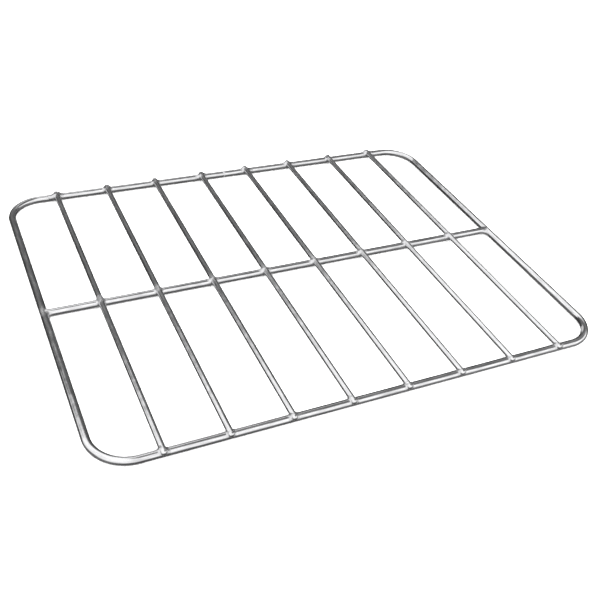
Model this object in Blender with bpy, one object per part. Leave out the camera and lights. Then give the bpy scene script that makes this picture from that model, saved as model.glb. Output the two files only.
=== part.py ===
"""A wire cooling rack: a bent rim wire, a crossbar in its plane and eight deck wires laid on both.

Metres, +Z up. X runs along the rack's length and Y along its depth, from front to back. The origin is on
the surface that the rack stands on, under the rack's centre. The wires meet only at welds, and each weld
is a piece of its own: a nugget where a deck wire crosses the rim or the crossbar, a saddle at each end of
the crossbar, and a butt weld that closes the rim.
"""

from math import cos, pi, radians, sin

import bmesh
import bpy
from mathutils import Matrix, Vector

# Driving dimensions.
OUTER_LENGTH = 0.452
OUTER_DEPTH = 0.356  # of the rim
RIM_WIRE = 0.0065  # diameter of the rim's wire and of the crossbar
DECK_WIRE = 0.005
DECK_WIRES = 8
DECK_PITCH = 0.0502
BEND_RADIUS = 0.030  # of the rim's corners, at the wire's centre line
DECK_OVERHANG = 0.001  # how far a deck wire's end stands past the rim
SET_DOWN = 0.0030  # how far a deck wire sinks into what it is welded to
FIT_GAP = 0.0003  # left free between pieces that touch

# Welds.
NUGGET_RADII = (0.0029, 0.0023, 0.0010)  # along the rim, along the deck wire and upward
SEAM_WIDTH = 0.0012
SADDLE_ROOT = 0.0015  # between the crossbar's end and the rim's inner side
SADDLE_SPREAD = 1.2  # how much wider than the crossbar the saddle is at the rim
SADDLE_HEIGHT = 0.97  # how tall it is there, as a share of the crossbar

# How finely round things are divided.
WIRE_SIDES = 12
BEND_STEPS = 7

# Places that follow from the driving dimensions.
RIM_R = RIM_WIRE / 2
DECK_R = DECK_WIRE / 2
RIM_X = OUTER_LENGTH / 2 - RIM_R
RIM_Y = OUTER_DEPTH / 2 - RIM_R
RIM_Z = RIM_R
DECK_Z = RIM_WIRE + DECK_R - SET_DOWN
CONTACT_Z = RIM_WIRE - SET_DOWN / 2
DECK_X = [(i - (DECK_WIRES - 1) / 2) * DECK_PITCH for i in range(DECK_WIRES)]
DECK_END = OUTER_DEPTH / 2 + DECK_OVERHANG
CROSSBAR_END = RIM_X - RIM_R - SADDLE_ROOT
UP = Vector((0, 0, 1))


def clear_scene():
    for old in list(bpy.data.objects):
        bpy.data.objects.remove(old)


def steel(name, colour, roughness):
    material = bpy.data.materials.new(name)
    material.use_nodes = True
    shader = material.node_tree.nodes["Principled BSDF"]
    shader.inputs["Base Color"].default_value = (*colour, 1)
    shader.inputs["Roughness"].default_value = roughness
    shader.inputs["Metallic"].default_value = 1
    return material


def add_object(name, bm, material=None):
    """One object from a bmesh, its sides shaded smooth. Without a material it is a cutter."""
    bmesh.ops.recalc_face_normals(bm, faces=bm.faces)
    mesh = bpy.data.meshes.new(name)
    bm.to_mesh(mesh)
    bm.free()
    made = bpy.data.objects.new(name, mesh)
    bpy.context.scene.collection.objects.link(made)
    if material is None:
        made.hide_render = True
        made.display_type = "WIRE"
        return made
    mesh.materials.append(material)
    mesh.shade_smooth()
    mesh.set_sharp_from_angle(angle=radians(50))
    return made


def cut(piece, cutter):
    modifier = piece.modifiers.new("cut_" + cutter.name, "BOOLEAN")
    modifier.operation = "DIFFERENCE"
    modifier.solver = "EXACT"
    modifier.object = cutter


def sweep(bm, path, radii, sides=WIRE_SIDES):
    """Adds a tube along level points, each (place, direction), with an (across, upward) radius for each.

    The section is a regular polygon around the wire's circle, with a flat side above and below.
    """
    rings = []
    for (place, direction), (across, upward) in zip(path, radii):
        side = direction.cross(UP).normalized()
        ring = []
        for i in range(sides):
            turn = (i + 0.5) * 2 * pi / sides
            reach = 1 / cos(pi / sides)
            offset = side * (across * cos(turn) * reach) + UP * (upward * sin(turn) * reach)
            ring.append(bm.verts.new(place + offset))
        rings.append(ring)
    for near, far in zip(rings, rings[1:]):
        for i in range(sides):
            j = (i + 1) % sides
            bm.faces.new((near[i], near[j], far[j], far[i]))
    bm.faces.new(rings[0])
    bm.faces.new(rings[-1])


def straight(start, end):
    """The path of a straight wire."""
    start, end = Vector(start), Vector(end)
    direction = (end - start).normalized()
    return [(start, direction), (end, direction)]


def rim_path():
    """The rim's centre line: clockwise from above, from one side of its seam round to the other."""
    half_seam = SEAM_WIDTH / 2 + FIT_GAP
    path = [(Vector((half_seam, RIM_Y, RIM_Z)), Vector((1, 0, 0)))]
    corners = ((1, 1, 90), (1, -1, 0), (-1, -1, -90), (-1, 1, -180))
    for side_x, side_y, start in corners:
        centre = Vector((side_x * (RIM_X - BEND_RADIUS), side_y * (RIM_Y - BEND_RADIUS), RIM_Z))
        for step in range(BEND_STEPS + 1):
            turn = radians(start - 90 * step / BEND_STEPS)
            out = Vector((cos(turn), sin(turn), 0))
            path.append((centre + out * BEND_RADIUS, out.cross(UP)))
    path.append((Vector((-half_seam, RIM_Y, RIM_Z)), Vector((1, 0, 0))))
    return path


def wire(name, path, radius, material):
    bm = bmesh.new()
    sweep(bm, path, [(radius, radius)] * len(path))
    return add_object(name, bm, material)


def add_nugget(bm, x, y, grow=0.0):
    """The lens of metal that melted where a deck wire crosses another wire."""
    place = Matrix.Translation((x, y, CONTACT_Z))
    size = Matrix.Diagonal((*(r + grow for r in NUGGET_RADII), 1))
    bmesh.ops.create_icosphere(bm, subdivisions=2, radius=1, matrix=place @ size)


def saddle(name, side, material, rim_cutter):
    """The weld between an end of the crossbar and the rim's inner side, wider where it meets the rim."""
    path = straight((side * (CROSSBAR_END + FIT_GAP), 0, RIM_Z), (side * RIM_X, 0, RIM_Z))
    wide = (RIM_R * SADDLE_SPREAD, RIM_R * SADDLE_HEIGHT)
    bm = bmesh.new()
    sweep(bm, path, [(RIM_R, RIM_R * SADDLE_HEIGHT), wide])
    made = add_object(name, bm, material)
    cut(made, rim_cutter)
    return made


def groove_cutter():
    """The seats of the deck wires, cut into the tops of the rim and the crossbar."""
    bm = bmesh.new()
    for x in DECK_X:
        path = straight((x, -OUTER_DEPTH, DECK_Z), (x, OUTER_DEPTH, DECK_Z))
        sweep(bm, path, [(DECK_R + FIT_GAP, DECK_R + FIT_GAP)] * 2)
    return add_object("groove_cutter", bm)


def nugget_cutter(rows):
    """The room that the nuggets take out of the wires that they join."""
    bm = bmesh.new()
    for x in DECK_X:
        for y in rows:
            add_nugget(bm, x, y, grow=FIT_GAP)
    return add_object("nugget_cutter", bm)


def rim_side_cutter():
    """The rim's two side runs with their gap, which shape the saddles' ends."""
    bm = bmesh.new()
    for side in (-1, 1):
        path = straight((side * RIM_X, -RIM_WIRE * 2, RIM_Z), (side * RIM_X, RIM_WIRE * 2, RIM_Z))
        sweep(bm, path, [(RIM_R + FIT_GAP, RIM_R + FIT_GAP)] * 2)
    return add_object("rim_side_cutter", bm)


def build():
    clear_scene()
    bright = steel("bright_steel", (0.72, 0.72, 0.73), 0.12)
    welded = steel("weld_steel", (0.55, 0.55, 0.56), 0.32)

    rows = {"back": RIM_Y, "bar": 0.0, "front": -RIM_Y}
    grooves = groove_cutter()
    nuggets = nugget_cutter(rows.values())
    rim_sides = rim_side_cutter()

    rim = wire("rim_wire", rim_path(), RIM_R, bright)
    crossbar_path = straight((-CROSSBAR_END, 0, RIM_Z), (CROSSBAR_END, 0, RIM_Z))
    crossbar = wire("crossbar", crossbar_path, RIM_R, bright)
    for seat in (rim, crossbar):
        cut(seat, grooves)
        cut(seat, nuggets)

    for number, x in enumerate(DECK_X, start=1):
        path = straight((x, -DECK_END, DECK_Z), (x, DECK_END, DECK_Z))
        cut(wire(f"deck_wire_{number}", path, DECK_R, bright), nuggets)
        for row, y in rows.items():
            bm = bmesh.new()
            add_nugget(bm, x, y)
            add_object(f"weld_{row}_{number}", bm, welded)

    saddle("weld_crossbar_left", -1, welded, rim_sides)
    saddle("weld_crossbar_right", 1, welded, rim_sides)
    seam = straight((-SEAM_WIDTH / 2, RIM_Y, RIM_Z), (SEAM_WIDTH / 2, RIM_Y, RIM_Z))
    wire("weld_rim_seam", seam, RIM_R, welded)


build()
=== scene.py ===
"""The looks of the wire cooling rack: smooth wires, filleted welds, bright steel and a pale studio.

Metres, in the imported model's own frame: +X along the rack's length, +Y towards its back, +Z up.
"""

from math import cos, pi, radians, sin

import bmesh
import bpy
import numpy as np
from mathutils import Matrix, Vector


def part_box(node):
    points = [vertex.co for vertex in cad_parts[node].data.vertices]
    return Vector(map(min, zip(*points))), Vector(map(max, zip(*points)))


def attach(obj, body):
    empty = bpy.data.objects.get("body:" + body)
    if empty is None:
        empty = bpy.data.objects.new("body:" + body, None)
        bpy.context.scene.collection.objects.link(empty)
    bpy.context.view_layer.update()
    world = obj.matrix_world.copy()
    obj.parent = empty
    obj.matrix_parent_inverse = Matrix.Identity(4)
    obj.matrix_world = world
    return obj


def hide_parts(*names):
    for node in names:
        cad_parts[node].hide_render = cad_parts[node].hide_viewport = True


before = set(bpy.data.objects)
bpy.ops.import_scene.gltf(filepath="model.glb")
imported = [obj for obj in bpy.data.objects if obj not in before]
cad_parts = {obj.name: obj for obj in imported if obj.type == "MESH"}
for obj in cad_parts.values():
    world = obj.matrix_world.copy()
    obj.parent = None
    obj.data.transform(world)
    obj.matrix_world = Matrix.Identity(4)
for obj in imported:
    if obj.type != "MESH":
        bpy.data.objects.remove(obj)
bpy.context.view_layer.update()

# ---------------------------------------------------------------- places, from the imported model
rim_low, rim_high = (np.array(v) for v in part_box("rim_wire"))
deck_low, deck_high = (np.array(v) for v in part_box("deck_wire_1"))

RIM_R = (rim_high[2] - rim_low[2]) / 2
DECK_R = (deck_high[0] - deck_low[0]) / 2
RIM_X = rim_high[0] - RIM_R
RIM_Y = rim_high[1] - RIM_R
RIM_Z = rim_low[2] + RIM_R
DECK_Z = deck_high[2] - DECK_R
DECK_END = deck_high[1]
DECK_NAMES = sorted(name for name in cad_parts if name.startswith("deck_wire_"))
DECK_X = {name: sum(v[0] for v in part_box(name)) / 2 for name in DECK_NAMES}
CONTACT_Z = (RIM_Z + RIM_R + DECK_Z - DECK_R) / 2  # halfway down the deck wires' overlap with the rim
ROWS = {"back": RIM_Y, "bar": 0.0, "front": -RIM_Y}
UP = Vector((0, 0, 1))
MM = 0.001
TINY = 1e-6  # for telling whether two places are the same

# ---------------------------------------------------------------- wires
BEND_RADIUS = 30 * MM  # of the rim's corners, at the centre line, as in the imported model
BEND_STEPS = 40
STEP = 2.0 * MM  # between the rings of a straight wire
RIM_SIDES = 40
DECK_SIDES = 32
TIP_ROUND = 2.3 * MM  # how far the deck wires' ends are rounded
TIP_FACE = 0.25  # the radius of the flat left on a tip, as a share of the wire's
TIP_STEPS = 10

# ---------------------------------------------------------------- welds
FILLETS = {"back": 4.8 * MM, "bar": 3.2 * MM, "front": 2.4 * MM}  # how far the welds round the corners
WIDE_CORNERS = {"weld_back_1": 1.7}  # how many times as wide the fillet to the left and in front is
SADDLES = {"left": (-1, 5 * MM, 4 * MM), "right": (1, 9 * MM, 2 * MM)}  # side, fillets in front and behind
SADDLE_TURN = 1.0 * MM  # how gradually the front fillet becomes the back one
FADE = 0.3  # a crossing's fillets fade out this share of the rim's radius above to below its middle
CROSSING_LEAST = 0.05  # the thinnest that they get, as a share of their full width
SADDLE_LEAST = 0.02  # the same for a saddle's, above and below
LUMP_HEIGHT = 0.05 * MM  # of the unevenness of a fillet
LUMP_WAVES = np.array(((1.9, 1.3, 1.6), (-1.1, 2.1, 1.4)))  # its two wave vectors, per millimetre
INSET = 0.015 * MM  # how far a weld stays under the wires' surfaces where it makes no fillet
CROSSING_REACH = 9 * MM  # how far from its middle a weld may go
SADDLE_REACH = 10 * MM
BALL_DETAIL = 5  # subdivisions of the ball that a weld is made from
SEARCH_STEPS = 70  # in looking for a weld's surface from its middle
HALVINGS = 24  # in closing in on it

SEAM_HALF = 1.4 * MM  # half the width of the ground zone
SEAM_DIP = 0.10 * MM  # ground off where the rim's ends are joined
SEAM_RIM = (0.0, 0.35, 0.7, 1.0)  # where the rim has its rings there, as shares of SEAM_HALF
SEAM_RINGS = 13
SEAM_PROUD = 0.05 * MM  # how far the weld's band stands out in its middle
SEAM_SINK = 0.01 * MM  # how far it lies under the rim's surface at its sides

# How much a weld dulls the steel and paints a pale highlight on it, from 0 to 1, and how far along the
# wires.
ROW_DULLING_AND_HIGHLIGHT = {"back": 0.22, "bar": 0.46, "front": 0.24}
SADDLE_DULLING_AND_HIGHLIGHT = 0.35
SEAM_DULLING_AND_HIGHLIGHT = 1.0
DULLING_AND_HIGHLIGHT_SPREAD = 4.5 * MM

# What a full dulling does to the steel: a paler tone, which is a painted highlight, and more roughness.
PAINTED_HIGHLIGHT_PALER = 1.2  # its tone, as a multiple of the light one
PAINTED_HIGHLIGHT_PALEST = 0.9  # the most that this gives
HEAT_ROUGHER = 0.34  # added to its roughness

WANDER_DEPTH = 0.25 * MM  # of the slight bends that are only in the material


# ---------------------------------------------------------------- materials
def add_node(tree, kind, inputs, **settings):
    """One node with its settings; an input is a number, a vector, a colour or another node's socket.

    A Mix node's numbers are its inputs 2 and 3 and output 0, and its colours inputs 6 and 7 and output 2.
    """
    node = tree.nodes.new(kind)
    for key, value in settings.items():
        setattr(node, key, value)
    for key, value in inputs.items():
        if isinstance(value, bpy.types.NodeSocket):
            tree.links.new(value, node.inputs[key])
        else:
            node.inputs[key].default_value = value
    return node


def steel(name, dark, light, smooth, rough, line_depth, lump_depth, seed):
    """Bright steel: drawing lines along the wire, slow patches of tone, and at the welds a rougher zone
    with a painted highlight, a paler tone.

    The meshes carry "wire", a point's place round and along its wire in millimetres, and a second
    attribute: how much a weld dulls the point and paints a pale highlight on it, from 0 to 1.
    """
    material = bpy.data.materials.new(name)
    material.use_nodes = True
    tree = material.node_tree
    shader = tree.nodes["Principled BSDF"]

    place = add_node(tree, "ShaderNodeAttribute", {}, attribute_name="wire")
    dulling_and_highlight = add_node(tree, "ShaderNodeAttribute", {}, attribute_name="weld_dulling_and_highlight")

    # Fine lines that the drawing die leaves: tight round the wire, long along it.
    drawn = add_node(tree, "ShaderNodeMapping", {
        "Vector": place.outputs["Vector"], "Location": (seed, 0, 0), "Scale": (3.2, 3.2, 0.035)})
    lines = add_node(tree, "ShaderNodeTexNoise", {
        "Vector": drawn.outputs["Vector"], "Scale": 1.6, "Detail": 4.0, "Roughness": 0.62})
    # Slow patches, as on wire that was handled and cleaned.
    spread = add_node(tree, "ShaderNodeMapping", {
        "Vector": place.outputs["Vector"], "Location": (0, seed, 0), "Scale": (0.5, 0.5, 0.07)})
    patches = add_node(tree, "ShaderNodeTexNoise", {
        "Vector": spread.outputs["Vector"], "Scale": 1.0, "Detail": 3.0, "Roughness": 0.55})
    # Slight bends and dents, a few centimetres long, which move the reflections about.
    bends = add_node(tree, "ShaderNodeTexNoise", {
        "Vector": place.outputs["Vector"], "Scale": 0.055, "Detail": 2.0, "Roughness": 0.5})
    # Small pits and lumps of the surface.
    pits = add_node(tree, "ShaderNodeTexNoise", {
        "Vector": place.outputs["Vector"], "Scale": 1.3, "Detail": 2.0, "Roughness": 0.5})

    # The tone runs from dark to light with the lines and the patches, whose sum is about 1.
    tone = add_node(tree, "ShaderNodeMath", {
        0: lines.outputs["Fac"], 1: patches.outputs["Fac"]}, operation="ADD")
    tone_share = add_node(tree, "ShaderNodeMapRange", {
        "Value": tone.outputs[0], "From Min": 0.75, "From Max": 1.25})
    colour = add_node(tree, "ShaderNodeValToRGB", {"Fac": tone_share.outputs[0]})
    colour.color_ramp.elements[0].color = (*dark, 1)
    colour.color_ramp.elements[1].color = (*light, 1)
    # Painted highlight: near the welds the tone is made paler, up to a set most, standing in for the
    # brighter reflections at the joints.
    pale = tuple(min(PAINTED_HIGHLIGHT_PALER * c, PAINTED_HIGHLIGHT_PALEST) for c in light)
    painted_highlight_mix = add_node(tree, "ShaderNodeMix", {
        "Factor": dulling_and_highlight.outputs["Fac"], 6: colour.outputs["Color"], 7: (*pale, 1)}, data_type="RGBA")
    tree.links.new(painted_highlight_mix.outputs[2], shader.inputs["Base Color"])

    gloss = add_node(tree, "ShaderNodeMapRange", {
        "Value": patches.outputs["Fac"], "From Min": 0.3, "From Max": 0.7, "To Min": smooth,
        "To Max": rough})
    heated = add_node(tree, "ShaderNodeMath", {
        0: dulling_and_highlight.outputs["Fac"], 1: HEAT_ROUGHER, 2: gloss.outputs[0]}, operation="MULTIPLY_ADD")
    tree.links.new(heated.outputs[0], shader.inputs["Roughness"])

    ridges = add_node(tree, "ShaderNodeBump", {
        "Height": lines.outputs["Fac"], "Strength": 0.5, "Distance": line_depth})
    lumps = add_node(tree, "ShaderNodeBump", {
        "Height": pits.outputs["Fac"], "Strength": 0.5, "Distance": lump_depth,
        "Normal": ridges.outputs["Normal"]})
    waves = add_node(tree, "ShaderNodeBump", {
        "Height": bends.outputs["Fac"], "Strength": 1.0, "Distance": WANDER_DEPTH,
        "Normal": lumps.outputs["Normal"]})
    tree.links.new(waves.outputs["Normal"], shader.inputs["Normal"])
    shader.inputs["Metallic"].default_value = 1.0
    return material


# ---------------------------------------------------------------- meshes
def finish_mesh(node, verts, faces, wire, dulling_and_highlight, material):
    """A smooth-shaded piece that rides on the rack's one body and stands for its CAD node."""
    name = "fine_" + node
    mesh = bpy.data.meshes.new(name)
    mesh.from_pydata([tuple(v) for v in verts], [], faces)
    mesh.attributes.new("wire", "FLOAT_VECTOR", "POINT").data.foreach_set(
        "vector", np.asarray(wire, np.float32).ravel())
    mesh.attributes.new("weld_dulling_and_highlight", "FLOAT", "POINT").data.foreach_set(
        "value", np.asarray(dulling_and_highlight, np.float32))
    bm = bmesh.new()
    bm.from_mesh(mesh)
    bmesh.ops.recalc_face_normals(bm, faces=bm.faces)
    bm.to_mesh(mesh)
    bm.free()
    mesh.materials.append(material)
    mesh.shade_smooth()
    piece = bpy.data.objects.new(name, mesh)
    bpy.context.scene.collection.objects.link(piece)
    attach(piece, "root")
    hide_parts(node)


def dulling_and_highlight_at(places, marks):
    """How much the welds dull each place along a wire and paint a pale highlight on it; marks are (place,
    most) pairs.
    """
    welds, most = np.array(marks).T
    gaps = np.subtract.outer(places, welds)
    return np.max(most * np.exp(-((gaps / DULLING_AND_HIGHLIGHT_SPREAD) ** 2)), axis=1)


def tube(node, rings, sides, marks, material):
    """A wire from rings, each (centre, direction, radius, place along the wire), closed at both ends.

    The material's place round the wire is on the rim's radius for every wire.
    """
    turns = (np.arange(sides) + 0.5) * 2 * pi / sides
    verts, wire, along = [], [], []
    for centre, direction, radius, place in rings:
        side = np.array(Vector(direction).cross(UP).normalized())
        around = np.outer(np.cos(turns), side) + np.outer(np.sin(turns), (0, 0, 1))
        verts.extend(np.array(centre) + around * radius)
        wire.extend((cos(t) * RIM_R / MM, sin(t) * RIM_R / MM, place / MM) for t in turns)
        along.extend([place] * sides)
    faces = []
    for ring in range(len(rings) - 1):
        for i in range(sides):
            j = (i + 1) % sides
            a, b = ring * sides, (ring + 1) * sides
            faces.append((a + i, a + j, b + j, b + i))
    for ring in (0, len(rings) - 1):
        centre, _, _, place = rings[ring]
        verts.append(np.array(centre))
        wire.append((0, 0, place / MM))
        along.append(place)
        middle, start = len(verts) - 1, ring * sides
        faces.extend((start + i, start + (i + 1) % sides, middle) for i in range(sides))
    dulling_and_highlight = dulling_and_highlight_at(np.array(along), marks)
    finish_mesh(node, verts, faces, wire, dulling_and_highlight, material)


def deck_profile(length):
    """(place, radius) pairs along a deck wire, whose ends are rounded to a small flat."""
    turn = np.linspace(0, pi / 2, TIP_STEPS + 1)
    radii = DECK_R * (TIP_FACE + (1 - TIP_FACE) * np.sin(turn))
    start = list(zip(TIP_ROUND * (1 - np.cos(turn)), radii))
    count = round((length - 2 * TIP_ROUND) / STEP)
    middle = [(p, DECK_R) for p in np.linspace(TIP_ROUND, length - TIP_ROUND, count + 1)[1:-1]]
    end = [(length - p, r) for p, r in reversed(start)]
    return start + middle + end


def deck_wire(node, material):
    rings = [
        ((DECK_X[node], p - DECK_END, DECK_Z), (0, 1, 0), radius, p)
        for p, radius in deck_profile(2 * DECK_END)
    ]
    marks = [(y + DECK_END, ROW_DULLING_AND_HIGHLIGHT[row]) for row, y in ROWS.items()]
    tube(node, rings, DECK_SIDES, marks, material)


def crossbar(material):
    """Straight, and let into the rim's sides, where its saddles cover the joint."""
    length = 2 * RIM_X
    count = round(length / STEP)
    rings = [((p - RIM_X, 0, RIM_Z), (1, 0, 0), RIM_R, p) for p in np.linspace(0, length, count + 1)]
    marks = [(x + RIM_X, ROW_DULLING_AND_HIGHLIGHT["bar"]) for x in DECK_X.values()]
    marks += [(0, SADDLE_DULLING_AND_HIGHLIGHT), (length, SADDLE_DULLING_AND_HIGHLIGHT)]
    tube("crossbar", rings, RIM_SIDES, marks, material)


def rim_points():
    """The rim's centre line, clockwise from above, as (point, direction), from its seam round to it."""
    def run(start, end, direction):
        count = round(max(abs(end[0] - start[0]), abs(end[1] - start[1])) / STEP)
        return [
            ((start[0] + (end[0] - start[0]) * k / count, start[1] + (end[1] - start[1]) * k / count),
             direction)
            for k in range(1, count)
        ]

    def bend(side_x, side_y, start):
        centre = (side_x * (RIM_X - BEND_RADIUS), side_y * (RIM_Y - BEND_RADIUS))
        points = []
        for k in range(BEND_STEPS + 1):
            turn = radians(start - 90 * k / BEND_STEPS)
            out = (cos(turn), sin(turn))
            points.append(((centre[0] + out[0] * BEND_RADIUS, centre[1] + out[1] * BEND_RADIUS),
                           (out[1], -out[0])))
        return points

    x, y, in_x, in_y = RIM_X, RIM_Y, RIM_X - BEND_RADIUS, RIM_Y - BEND_RADIUS
    points = [((s * SEAM_HALF, y), (1, 0)) for s in SEAM_RIM]
    points += run((SEAM_HALF, y), (in_x, y), (1, 0)) + bend(1, 1, 90)
    points += run((x, in_y), (x, -in_y), (0, -1)) + bend(1, -1, 0)
    points += run((in_x, -y), (-in_x, -y), (-1, 0)) + bend(-1, -1, -90)
    points += run((-x, -in_y), (-x, in_y), (0, 1)) + bend(-1, 1, -180)
    points += run((-in_x, y), (-SEAM_HALF, y), (1, 0))
    points += [((-s * SEAM_HALF, y), (1, 0)) for s in reversed(SEAM_RIM)]
    return points


def rim(material):
    """The rim's wire, ground a little thinner at its seam."""
    rings, marks, place, before = [], [], 0.0, None
    for (x, y), (dx, dy) in rim_points():
        if before is not None:
            place += float(np.hypot(x - before[0], y - before[1]))
        before = (x, y)
        near = abs(x) / SEAM_HALF if y > 0 else 1.0
        dip = SEAM_DIP * max(0.0, 1 - near) ** 0.5
        rings.append(((x, y, RIM_Z), (dx, dy, 0), RIM_R - dip, place))
        if abs(abs(y) - RIM_Y) < TINY and min(abs(x - d) for d in DECK_X.values()) < STEP / 2:
            marks.append((place, ROW_DULLING_AND_HIGHLIGHT["back" if y > 0 else "front"]))
        elif abs(abs(x) - RIM_X) < TINY and abs(y) < STEP / 2:
            marks.append((place, SADDLE_DULLING_AND_HIGHLIGHT))
    tube("rim_wire", rings, RIM_SIDES, marks, material)


def seam(material):
    """The butt weld's band, ground down with the wire's ends, a hair proud of the dip."""
    rings = []
    for s in np.linspace(-1, 1, SEAM_RINGS):
        dip = SEAM_DIP * (1 - abs(s)) ** 0.5
        radius = RIM_R - dip + SEAM_PROUD * (1 - s * s) - SEAM_SINK
        place = s * SEAM_HALF
        rings.append(((place, RIM_Y, RIM_Z), (1, 0, 0), radius, place))
    tube("weld_rim_seam", rings, RIM_SIDES, [(0.0, SEAM_DULLING_AND_HIGHLIGHT)], material)


def ball():
    """Even directions from a ball's middle, with the triangles between them."""
    bm = bmesh.new()
    bmesh.ops.create_icosphere(bm, subdivisions=BALL_DETAIL, radius=1)
    points = np.array([v.co for v in bm.verts])
    faces = [tuple(v.index for v in f.verts) for f in bm.faces]
    bm.free()
    return points, faces


def weld(node, centre, field, limit, dulling_and_highlight, material):
    """A weld's closed surface: where field reaches 0, seen from centre, and at most limit away from it.

    The field is below 0 inside the weld and the wires that it joins. Its dulling and painted highlight are
    the same all over.
    """
    centre = np.array(centre)
    points, faces = ball()
    low, high = np.zeros(len(points)), np.full(len(points), limit)
    hit = np.zeros(len(points), bool)
    steps = np.linspace(0, limit, SEARCH_STEPS)
    for near, far in zip(steps, steps[1:]):
        out = (field(centre + points * far) > 0) & ~hit
        low[out], high[out], hit[out] = near, far, True
    for _ in range(HALVINGS):
        middle = (low + high) / 2
        out = field(centre + points * middle[:, None]) > 0
        high = np.where(hit & out, middle, high)
        low = np.where(hit & ~out, middle, low)
    verts = centre + points * np.where(hit, (low + high) / 2, limit)[:, None]
    wire = (verts - centre) / MM
    finish_mesh(node, verts, faces, wire, np.full(len(verts), dulling_and_highlight), material)


def blend_min(a, b, width):
    """The smaller of two distances, rounded off by a fillet where they are about equal.

    It also gives how equal they are: 1 where they are the same, and 0 where they differ by the width.
    """
    share = np.maximum(width - np.abs(a - b), 0) / width
    return np.minimum(a, b) - share**3 * width / 6, share


def crossing(node, x, row, seed, material):
    """The fillets between a deck wire and the wire under it, lumpy as metal that was pressed out.

    Each crossing has its own size, within 15% of its row's, its own wide and narrow corners and its own
    lumps. The fillets end where the deck wire's tip is rounded.
    """
    y = ROWS[row]
    random = np.random.default_rng(seed)
    size = FILLETS[row] * (0.85 + 0.3 * random.random())
    swing = 0.25 + 0.2 * random.random()
    turn = random.random() * 2 * pi
    lump = random.random(2) * 9
    corner_share = WIDE_CORNERS.get(node, 1.0)

    def field(p):
        under = np.hypot(p[:, 1] - y, p[:, 2] - RIM_Z) - RIM_R
        over = np.hypot(p[:, 0] - x, p[:, 2] - DECK_Z) - DECK_R
        over = np.maximum(over, np.abs(p[:, 1]) - (DECK_END - TIP_ROUND))
        angle = np.arctan2(p[:, 1] - y, p[:, 0] - x)
        width = size * (1 + swing * np.sin(2 * angle + turn))
        corner = np.clip(-(p[:, 0] - x) / DECK_R, 0, 1) * np.clip(-(p[:, 1] - y) / DECK_R, 0, 1)
        width = width * (1 + (corner_share - 1) * corner)
        faded = (p[:, 2] - RIM_Z + FADE * RIM_R) / (2 * FADE * RIM_R)
        width = width * np.clip(faded, CROSSING_LEAST, 1)
        joined, share = blend_min(under, over, width)
        wave = np.sin(p @ LUMP_WAVES[0] / MM + lump[0]) * np.sin(p @ LUMP_WAVES[1] / MM + lump[1])
        joined = joined + INSET + LUMP_HEIGHT * wave * share
        joined = np.maximum(joined, p[:, 2] - DECK_Z - DECK_R + INSET)
        return np.maximum(joined, np.abs(p[:, 1]) - DECK_END + INSET)

    weld(node, (x, y, CONTACT_Z), field, CROSSING_REACH, ROW_DULLING_AND_HIGHLIGHT[row], material)


def saddle(node, side, front, back, material):
    """The T-joint of the crossbar and the rim's side, with a wider fillet in front than behind."""
    def field(p):
        rim_side = np.hypot(p[:, 0] - side * RIM_X, p[:, 2] - RIM_Z) - RIM_R
        bar = np.hypot(p[:, 1], p[:, 2] - RIM_Z) - RIM_R
        bar = np.maximum(bar, side * p[:, 0] - RIM_X)
        ahead = 0.5 - 0.5 * np.tanh(p[:, 1] / SADDLE_TURN)
        flat = np.clip(1 - ((p[:, 2] - RIM_Z) / RIM_R) ** 2, SADDLE_LEAST, 1)
        width = (back + (front - back) * ahead) * flat
        joined, _ = blend_min(rim_side, bar, width)
        joined = np.maximum(joined + INSET, np.abs(p[:, 2] - RIM_Z) - RIM_R + INSET)
        return np.maximum(joined, side * p[:, 0] - RIM_X - RIM_R + INSET)

    centre = (side * (RIM_X - 0.7 * RIM_R), 0, RIM_Z)  # inside the joint, a little towards the crossbar
    weld(node, centre, field, SADDLE_REACH, SADDLE_DULLING_AND_HIGHLIGHT, material)


# ---------------------------------------------------------------- the rack
rim_steel = steel(
    "rim_steel", dark=(0.52, 0.52, 0.53), light=(0.82, 0.82, 0.83), smooth=0.08, rough=0.16,
    line_depth=0.006 * MM, lump_depth=0.010 * MM, seed=3.0)
weld_steel = steel(
    "weld_steel", dark=(0.46, 0.46, 0.47), light=(0.60, 0.60, 0.61), smooth=0.14, rough=0.24,
    line_depth=0.004 * MM, lump_depth=0.03 * MM, seed=17.0)
rim(rim_steel)
crossbar(rim_steel)
for number, name in enumerate(DECK_NAMES, start=1):
    deck_steel = steel(
        f"deck_steel_{number}", dark=(0.56, 0.56, 0.57), light=(0.80, 0.80, 0.81), smooth=0.08, rough=0.16,
        line_depth=0.005 * MM, lump_depth=0.008 * MM, seed=20.0 + 7.3 * number)
    deck_wire(name, deck_steel)
    for row_number, row in enumerate(ROWS):
        crossing(f"weld_{row}_{number}", DECK_X[name], row, 100 * row_number + number, weld_steel)
for end, (side, front, back) in SADDLES.items():
    saddle(f"weld_crossbar_{end}", side, front, back, weld_steel)
seam(weld_steel)


# ---------------------------------------------------------------- studio
def direction(azimuth, elevation):
    """A direction: azimuth 0 is +Y, the back, and 90 is +X; elevation is above the floor. Degrees."""
    a, e = radians(azimuth), radians(elevation)
    return Vector((sin(a) * cos(e), cos(a) * cos(e), sin(e)))


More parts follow.
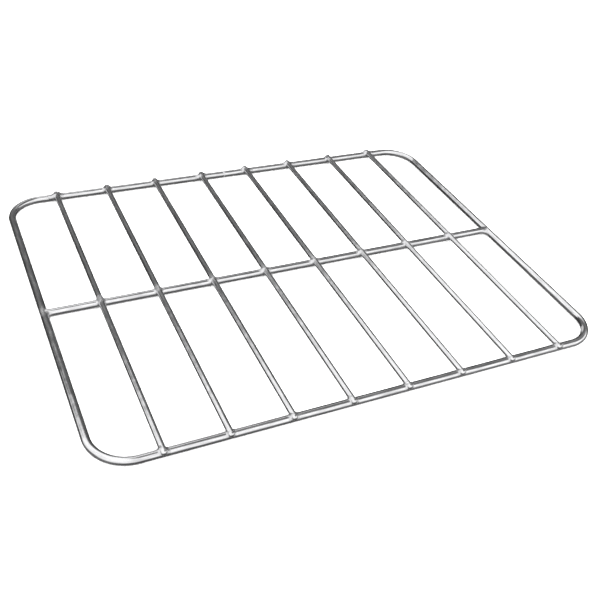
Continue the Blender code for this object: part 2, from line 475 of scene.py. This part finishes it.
def studio_world():
    """A white tent that the steel reflects, open at the back, where the room is dark.

    The tent is dim below and bright above. Its back edge is straight: opening_way is the azimuth that
    the opening faces, opening_top the elevation of the edge there and edge_soft half the edge's width.
    Heights are those of points on a ball around the rack, from -1 to 1. Each panel is (azimuth,
    elevation, radius inside, radius outside, brightness), soft between its two radii, and a later one
    covers an earlier one. Only reflections show the tent: all else is lit by plain white.
    """
    tent_low, tent_high = 0.30, 1.65  # brightness
    tent_rises = (-0.4, 0.1)  # between these heights
    room_low, room_high = 0.075, 0.22
    room_rises = (0.1, 0.7)
    opening_way, opening_top, edge_soft = 12, 46.5, 0.06
    white = 3.0
    panels = (
        (-80, 25, 31, 40, 1.6),  # bright, on the left
        (85, 57, 24, 35, 0.26),  # grey, high on the right
        (188, -40, 14, 32, 0.15),  # dark, low in front
        (-85, -30, 22, 42, 0.28),  # grey, low on the left
        (105, -30, 22, 42, 0.30),  # grey, low on the right
        (-90, -82, 25, 45, 0.24),  # grey, straight below
        (-7, 27, 8, 24, 0.23),  # grey, in the opening
        (8, -10, 9, 15, 1.1),  # bright, in the opening, one above the other
        (8, 12, 9, 15, 1.1),
    )
    world = bpy.data.worlds.new("studio")
    bpy.context.scene.world = world
    world.use_nodes = True
    tree = world.node_tree
    tree.nodes.clear()
    place = tree.nodes.new("ShaderNodeTexCoord").outputs["Generated"]
    height = add_node(tree, "ShaderNodeSeparateXYZ", {0: place}).outputs["Z"]
    tent = add_node(tree, "ShaderNodeMapRange", {
        "Value": height, "From Min": tent_rises[0], "From Max": tent_rises[1], "To Min": tent_low,
        "To Max": tent_high}, interpolation_type="SMOOTHSTEP")
    room = add_node(tree, "ShaderNodeMapRange", {
        "Value": height, "From Min": room_rises[0], "From Max": room_rises[1], "To Min": room_low,
        "To Max": room_high})
    over = add_node(tree, "ShaderNodeVectorMath", {
        0: place, 1: direction(opening_way + 180, 90 - opening_top)}, operation="DOT_PRODUCT")
    closed = add_node(tree, "ShaderNodeMapRange", {
        "Value": over.outputs["Value"], "From Min": -edge_soft, "From Max": edge_soft},
        interpolation_type="SMOOTHSTEP")
    opened = add_node(tree, "ShaderNodeMix", {
        "Factor": closed.outputs[0], 2: room.outputs[0], 3: tent.outputs[0]})
    bright = opened.outputs[0]
    for azimuth, elevation, inside, outside, strength in panels:
        facing = add_node(tree, "ShaderNodeVectorMath", {
            0: place, 1: direction(azimuth, elevation)}, operation="DOT_PRODUCT")
        share = add_node(tree, "ShaderNodeMapRange", {
            "Value": facing.outputs["Value"], "From Min": cos(radians(outside)),
            "From Max": cos(radians(inside))}, interpolation_type="SMOOTHSTEP")
        mixed = add_node(tree, "ShaderNodeMix", {"Factor": share.outputs[0], 2: bright, 3: strength})
        bright = mixed.outputs[0]
    reflected = add_node(tree, "ShaderNodeBackground", {"Strength": bright})
    plain = add_node(tree, "ShaderNodeBackground", {"Color": (1, 1, 1, 1), "Strength": white})
    rays = tree.nodes.new("ShaderNodeLightPath")
    either = add_node(tree, "ShaderNodeMixShader", {
        0: rays.outputs["Is Glossy Ray"], 1: plain.outputs[0], 2: reflected.outputs[0]})
    add_node(tree, "ShaderNodeOutputWorld", {"Surface": either.outputs[0]})


def floor():
    """A pale matt floor, which the steel doesn't reflect."""
    bm = bmesh.new()
    bmesh.ops.create_circle(bm, cap_ends=True, segments=96, radius=12.0)
    mesh = bpy.data.meshes.new("floor")
    bm.to_mesh(mesh)
    bm.free()
    pale = bpy.data.materials.new("pale_floor")
    pale.use_nodes = True
    shader = pale.node_tree.nodes["Principled BSDF"]
    shader.inputs["Base Color"].default_value = (0.93, 0.93, 0.93, 1)
    shader.inputs["Roughness"].default_value = 0.9
    shader.inputs["Specular IOR Level"].default_value = 0.0
    mesh.materials.append(pale)
    ground = bpy.data.objects.new("floor", mesh)
    ground.visible_glossy = False
    bpy.context.scene.collection.objects.link(ground)


def camera():
    """The camera stands in front, to the left and above, tilted a little on its own axis."""
    place, aim = Vector((-0.2897, -0.5453, 0.4521)), Vector((-0.0112, -0.0475, 0.003))
    tilt = -7.33
    ahead = (aim - place).normalized()
    right = Matrix.Rotation(radians(tilt), 3, ahead) @ ahead.cross(UP).normalized()
    turn = Matrix((right, right.cross(ahead), -ahead)).transposed()
    data = bpy.data.cameras.new("camera")
    data.lens = 49.34
    data.sensor_width = 36.0
    data.clip_start = 0.01
    seen = bpy.data.objects.new("camera", data)
    seen.matrix_world = Matrix.Translation(place) @ turn.to_4x4()
    bpy.context.scene.collection.objects.link(seen)
    bpy.context.scene.camera = seen


studio_world()
floor()
camera()
bpy.context.scene.view_settings.view_transform = "Standard"
